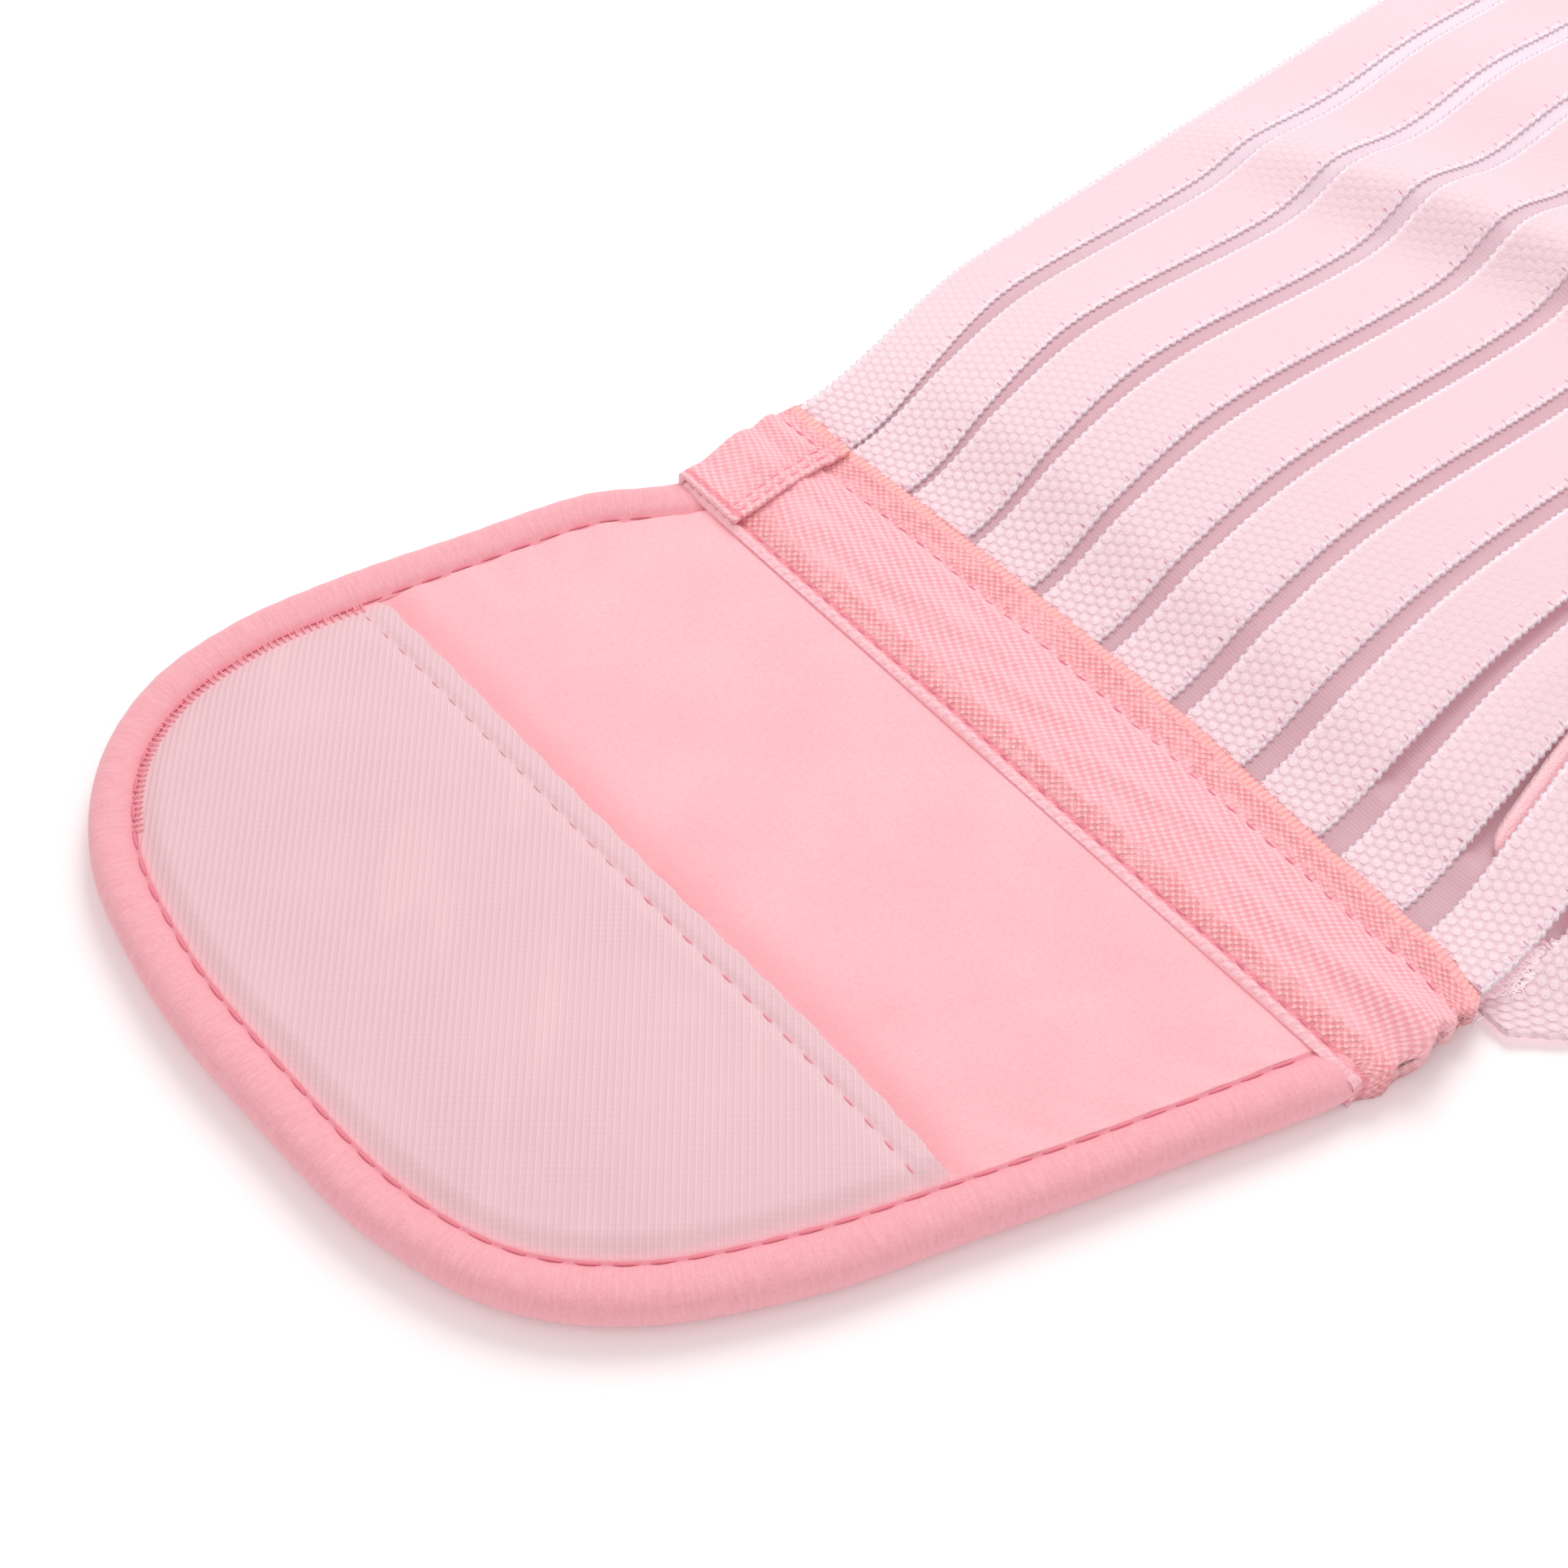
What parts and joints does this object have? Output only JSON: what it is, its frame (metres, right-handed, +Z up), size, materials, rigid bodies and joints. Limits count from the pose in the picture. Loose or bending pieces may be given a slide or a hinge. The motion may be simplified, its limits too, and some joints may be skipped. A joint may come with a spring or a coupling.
{
  "type": "maternity support belt",
  "caption": "Maternity support belt of knitted elastic bands between woven tapes, with padded end tabs and a hook patch, lying open.",
  "frame": {"origin": "middle of the belt's length and width, on the surface that it lies on", "axes": "+X along the belt from the hook tab to the plain tab, +Y across its width, +Z up out of the surface"},
  "size_m": [0.8044, 0.1534, 0.0126],
  "materials": {
    "elastic": "knitted elastic, matt, pale pink",
    "sheer": "sheer strips with fine cross threads, slightly glossy",
    "canvas": "woven cotton tape, matt, coral pink",
    "brushed": "brushed loop cloth over foam, matt, pink",
    "binding": "soft rolled binding, matt, pink",
    "hook": "fine nylon hook sheet, satin, pale greyish pink"
  },
  "bodies": {
    "root": {"band_1": "elastic", "band_2": "elastic", "band_3": "elastic", "band_4": "elastic", "band_5": "elastic", "band_6": "elastic", "band_7": "elastic", "band_8": "elastic", "band_9": "elastic", "band_10": "elastic", "band_11": "elastic", "sheer_strip_1": "sheer", "sheer_strip_2": "sheer", "sheer_strip_3": "sheer", "sheer_strip_4": "sheer", "sheer_strip_5": "sheer", "sheer_strip_6": "sheer", "sheer_strip_7": "sheer", "sheer_strip_8": "sheer", "sheer_strip_9": "sheer", "sheer_strip_10": "sheer", "under_strap": "brushed", "hook_end_pad": "brushed", "hook_end_binding": "binding", "hook_end_tape": "canvas", "hook_end_tape_fold": "canvas", "plain_end_pad": "brushed", "plain_end_binding": "binding", "plain_end_tape": "canvas", "plain_end_tape_fold": "canvas", "hook_patch": "hook"}
  },
  "joints": []
}
